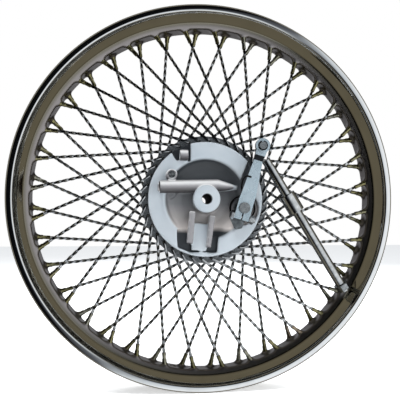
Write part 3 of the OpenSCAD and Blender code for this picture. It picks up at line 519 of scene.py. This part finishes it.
oiled_felt = speckled("oiled_wool_felt",
                      [(0.3, "#2f261a"), (0.7, "#57482f")], 0.0, 0.92, 0.35, 0.12)
for node in ("hub_shell", "brake_shoe_upper", "brake_shoe_lower"):
    wear(node, cast_aluminium)
wear("drum_liner", turned_iron)
for node in ("bearing_outer_races", "bearing_balls"):
    wear(node, ground_steel)
wear("bearing_cages", pressed_steel)
# painted shade: the parts lining the axle bore are near black, standing in for the shade down the
# bore
bore_shade_steel = speckled("bore_painted_shade_steel",
                         [(0.3, "#080707"), (0.7, "#12110f")], 0.2, 0.8, 1.5, 0.02)
for node in ("distance_tube", "speedo_gear_sleeve", "bearing_inner_races"):
    wear(node, bore_shade_steel)
for node in ("speedo_drive_ring", "speedo_pinion", "anchor_pin"):
    wear(node, turned_steel)
wear("dust_seal", seal_rubber)
wear("speedo_drive_gear", natural_nylon)
wear("speedo_pinion_bush", oiled_bronze)
wear("cam_felt_seal", oiled_felt)
for node in ("brake_lining_upper", "brake_lining_lower"):
    wear(node, moulded_lining)

# ---- brake panel ----
# The aluminium back plate, die cast with soft corners in its dish, then machined flat on its
# ring and on the axle boss. It is painted silver, darker in the dish, with painted shade and
# highlight there.
boss_r, edge_r, front_from_y = 16.7, 70.2, -12.0
panel_source = bmesh.new()
panel_source.from_mesh(nodes["brake_panel"].data)
bmesh.ops.remove_doubles(panel_source, verts=panel_source.verts, dist=2e-6)
bmesh.ops.recalc_face_normals(panel_source, faces=panel_source.faces)
panel_paint, tree, shader, place = start_finish("silver_paint_on_casting", 0.3, 0.3)
flat_place = add(tree, "ShaderNodeVectorMath", {0: place, 1: (1, 0, 1)},
                 operation="MULTIPLY").outputs[0]
radius = add(tree, "ShaderNodeVectorMath", {0: flat_place}, operation="LENGTH").outputs["Value"]
parts = add(tree, "ShaderNodeSeparateXYZ", {"Vector": place}).outputs
height = parts["Y"]
# how deep a point lies behind the flat ring: the dish there has its own darker tone, with painted
# shade and highlight
sunk = add(tree, "ShaderNodeMapRange", {
    "Value": height, "From Min": -0.0247, "From Max": -0.0228}, clamp=True).outputs[0]
cast_grain = add(tree, "ShaderNodeTexNoise", {
    "Vector": place, "Scale": 700.0, "Detail": 3.0}).outputs[0]
drift = add(tree, "ShaderNodeTexNoise", {"Vector": place, "Scale": 26.0, "Detail": 2.0}).outputs[0]
bright = add(tree, "ShaderNodeValToRGB", {"Fac": drift}, stops=[(0.3, "#b5bfc7"), (0.7, "#c2c9cf")])
# painted shade and highlight by height: the dish is painted dark towards its top, under the
# speedometer drive, and light and warm below the boss
low_down = add(tree, "ShaderNodeMath", {0: parts["Z"], 1: add(tree, "ShaderNodeMath", {
    0: drift, 1: 0.012}, operation="MULTIPLY").outputs[0]}, operation="ADD").outputs[0]
dish_painted_light = add(tree, "ShaderNodeValToRGB", {"Fac": add(tree, "ShaderNodeMapRange", {
    "Value": low_down, "From Min": -0.06, "From Max": 0.06}).outputs[0]},
    stops=[(0.2, "#34383c"), (0.25, "#dcd5d1"), (0.36, "#aaa6a5"), (0.5, "#77787b"),
           (0.72, "#4c5054"), (1.0, "#2b2e32")])
painted = add(tree, "ShaderNodeMixRGB", {"Fac": sunk, "Color1": bright.outputs["Color"],
                                          "Color2": dish_painted_light.outputs["Color"]})
# what stands out in front of the ring, apart from the boss, was left as cast; its grey takes
# painted light by which way it faces
before_ring = add(tree, "ShaderNodeMapRange", {
    "Value": height, "From Min": -0.0252, "From Max": -0.0258}).outputs[0]
off_boss = add(tree, "ShaderNodeMapRange", {
    "Value": radius, "From Min": 0.0168, "From Max": 0.0174}).outputs[0]
raised = add(tree, "ShaderNodeMath", {0: before_ring, 1: off_boss},
             operation="MULTIPLY").outputs[0]
# painted highlight and shade: its upper sides are painted bright and its undersides dark, by which
# way each face points
facing = add(tree, "ShaderNodeTexCoord").outputs["Normal"]
upward = add(tree, "ShaderNodeSeparateXYZ", {"Vector": facing}).outputs["Z"]
wear_and_painted_light = add(tree, "ShaderNodeValToRGB", {"Fac": add(tree, "ShaderNodeMapRange", {
    "Value": upward, "From Min": -0.9, "From Max": 0.9}).outputs[0]},
    stops=[(0.0, "#3b3a3c"), (0.3, "#68676a"), (0.5, "#949396"), (0.68, "#d5d5d6"),
           (0.8, "#e4e4e5"), (1.0, "#8e8d8f")])
painted = add(tree, "ShaderNodeMixRGB", {"Fac": raised, "Color1": painted.outputs["Color"],
                                          "Color2": wear_and_painted_light.outputs["Color"]})
# painted shade: the panel's axle bore is painted near black
in_bore = add(tree, "ShaderNodeMapRange", {
    "Value": radius, "From Min": 0.0068, "From Max": 0.0063}).outputs[0]
bore_painted_shade = add(tree, "ShaderNodeMixRGB", {"Fac": in_bore, "Color1": painted.outputs["Color"],
                                          "Color2": linear("#0b0a09")})
tree.links.new(bore_painted_shade.outputs["Color"], shader["Base Color"])
# fine rings left by the lathe on the boss, drawn 0.8 mm apart so that they show
groove_step = 0.8
turns = add(tree, "ShaderNodeMath", {0: radius, 1: 2 * math.pi / (groove_step * MM)},
            operation="MULTIPLY").outputs[0]
grooves = add(tree, "ShaderNodeMath", {0: turns}, operation="SINE").outputs[0]
on_boss = add(tree, "ShaderNodeMapRange", {
    "Value": height, "From Min": -0.0366, "From Max": -0.0371}, clamp=True).outputs[0]
cut_rings = add(tree, "ShaderNodeMath", {0: grooves, 1: on_boss}, operation="MULTIPLY").outputs[0]
relief = add(tree, "ShaderNodeMath", {0: cast_grain, 1: cut_rings}, operation="ADD").outputs[0]
rough_face = add(tree, "ShaderNodeBump", {
    "Height": relief, "Distance": 0.05 * MM, "Strength": 0.5}).outputs[0]
tree.links.new(rough_face, shader["Normal"])
panel = make_piece("cast_brake_panel", panel_source, panel_paint)
cast = panel.modifiers.new("cast", "REMESH")
cast.mode, cast.voxel_size, cast.use_smooth_shade = "VOXEL", 0.75 * MM, True
settle(panel)
skin = bmesh.new()
skin.from_mesh(panel.data)
# the casting's corners are well rounded, and its machined ring, edge and boss only a little
front = [v for v in skin.verts if v.co.y < front_from_y * MM]
rounded = [v for v in front if boss_r + 0.6 < math.hypot(v.co.x, v.co.z) / MM < edge_r]
for verts, passes in ((rounded, 7), (front, 2)):
    for _ in range(passes):
        bmesh.ops.smooth_vert(skin, verts=verts, factor=0.5, use_axis_x=True, use_axis_y=True,
                              use_axis_z=True)
skin.to_mesh(panel.data)
skin.free()
fewer = panel.modifiers.new("fewer", "DECIMATE")
fewer.ratio = min(1.0, 180000 / (2 * len(panel.data.polygons)))
settle(panel)
for face in panel.data.polygons:
    face.use_smooth = True
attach(panel, "panel")
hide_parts("brake_panel")


# ---- arm, cam and fastenings ----
# The arm is stamped and cranked from thick strip and zinc plated blue-white. The cam,
# wear plate, pinch bolt, cable pin and loose axle are turned or stamped steel.
def eased(name, node, edge, finish):
    """A copy of a CAD node with its sharp edges broken by so many millimetres."""
    shape = bmesh.new()
    shape.from_mesh(nodes[node].data)
    bmesh.ops.remove_doubles(shape, verts=shape.verts, dist=2e-6)
    bmesh.ops.recalc_face_normals(shape, faces=shape.faces)
    if edge:
        bmesh.ops.dissolve_limit(shape, angle_limit=math.radians(1), verts=shape.verts,
                                 edges=shape.edges)
        sharp = [e for e in shape.edges
                 if len(e.link_faces) == 2 and e.calc_face_angle(0) > math.radians(28)]
        bmesh.ops.bevel(shape, geom=sharp, offset=edge * MM, segments=2, profile=0.5,
                        affect="EDGES", clamp_overlap=True, material=-1)
    piece = make_piece(name, shape, finish, 18)
    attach(piece, nodes[node]["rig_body"])
    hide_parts(node)
    return piece


blue_zinc = speckled("blue_white_zinc_plate",
                     [(0.3, "#b0c1cb"), (0.6, "#bacad4"), (0.8, "#c6d4dd")], 0.8, 0.27, 9.0, 0.02)
bright_zinc = speckled("bright_zinc_plate",
                       [(0.3, "#a9adb0"), (0.6, "#c8cccf"), (0.8, "#dfe2e4")], 1.0, 0.2, 3.0, 0.01)
black_spring = speckled("oil_blackened_spring_steel",
                        [(0.3, "#0e0e0f"), (0.7, "#242424")], 0.8, 0.35, 1.0, 0.02)
polished_steel = speckled("polished_turned_steel",
                          [(0.3, "#b5b8ba"), (0.6, "#d2d5d7"), (0.8, "#e6e9ea")],
                          1.0, 0.13, 6.0, 0.01)
aged_zinc = speckled("aged_zinc_plate",
                     [(0.3, "#878b8e"), (0.6, "#a3a8ab"), (0.8, "#c0c5c8")], 1.0, 0.26, 2.5, 0.02)
# the two cranks of the arm slope away from the light, so their plating reads dark
tree = blue_zinc.node_tree
zinc_tone = tree.nodes["Principled BSDF"].inputs["Base Color"]
flat_zinc = zinc_tone.links[0].from_socket
facing = add(tree, "ShaderNodeTexCoord").outputs["Normal"]
tipped = add(tree, "ShaderNodeSeparateXYZ", {"Vector": facing}).outputs["Y"]
on_crank = add(tree, "ShaderNodeMapRange", {
    "Value": tipped, "From Min": -0.98, "From Max": -0.93}, clamp=True).outputs[0]
shaded_zinc = add(tree, "ShaderNodeMixRGB", {"Fac": on_crank, "Color1": flat_zinc,
                                              "Color2": linear("#1b1e21")})
tree.links.new(shaded_zinc.outputs["Color"], zinc_tone)
eased("cranked_brake_arm", "brake_arm", 0.6, blue_zinc)
eased("brake_cam_shaft", "brake_cam", 0.3, aged_zinc)
oily_zinc = speckled("oil_stained_zinc_plate",
                     [(0.3, "#53585b"), (0.6, "#7b8184"), (0.8, "#a3a9ac")], 0.9, 0.3, 6.0, 0.02)
eased("stamped_wear_plate", "wear_indicator", 0.2, oily_zinc)
eased("pinch_bolt_turned", "pinch_bolt", 0.3, bright_zinc)
eased("pinch_washer_stamped", "pinch_washer", 0.12, bright_zinc)
eased("pinch_nut_turned", "pinch_nut", 0.3, bright_zinc)
eased("cable_pin_turned", "cable_pin", 0.3, aged_zinc)
eased("cable_pin_ring", "cable_pin_clip", 0.1, black_spring)
eased("speedo_screw_turned", "speedo_bush_screw", 0.25, bright_zinc)
eased("coiled_cam_spring", "cam_return_spring", 0, black_spring)
eased("shoe_spring_by_cam", "shoe_spring_cam_end", 0, black_spring)
eased("shoe_spring_by_pin", "shoe_spring_pin_end", 0, black_spring)
eased("loose_axle_turned", "loose_axle", 0.3, polished_steel)
eased("axle_nut_flanged", "axle_nut", 0.3, aged_zinc)
eased("axle_collar_turned", "axle_collar", 0.4, polished_steel)
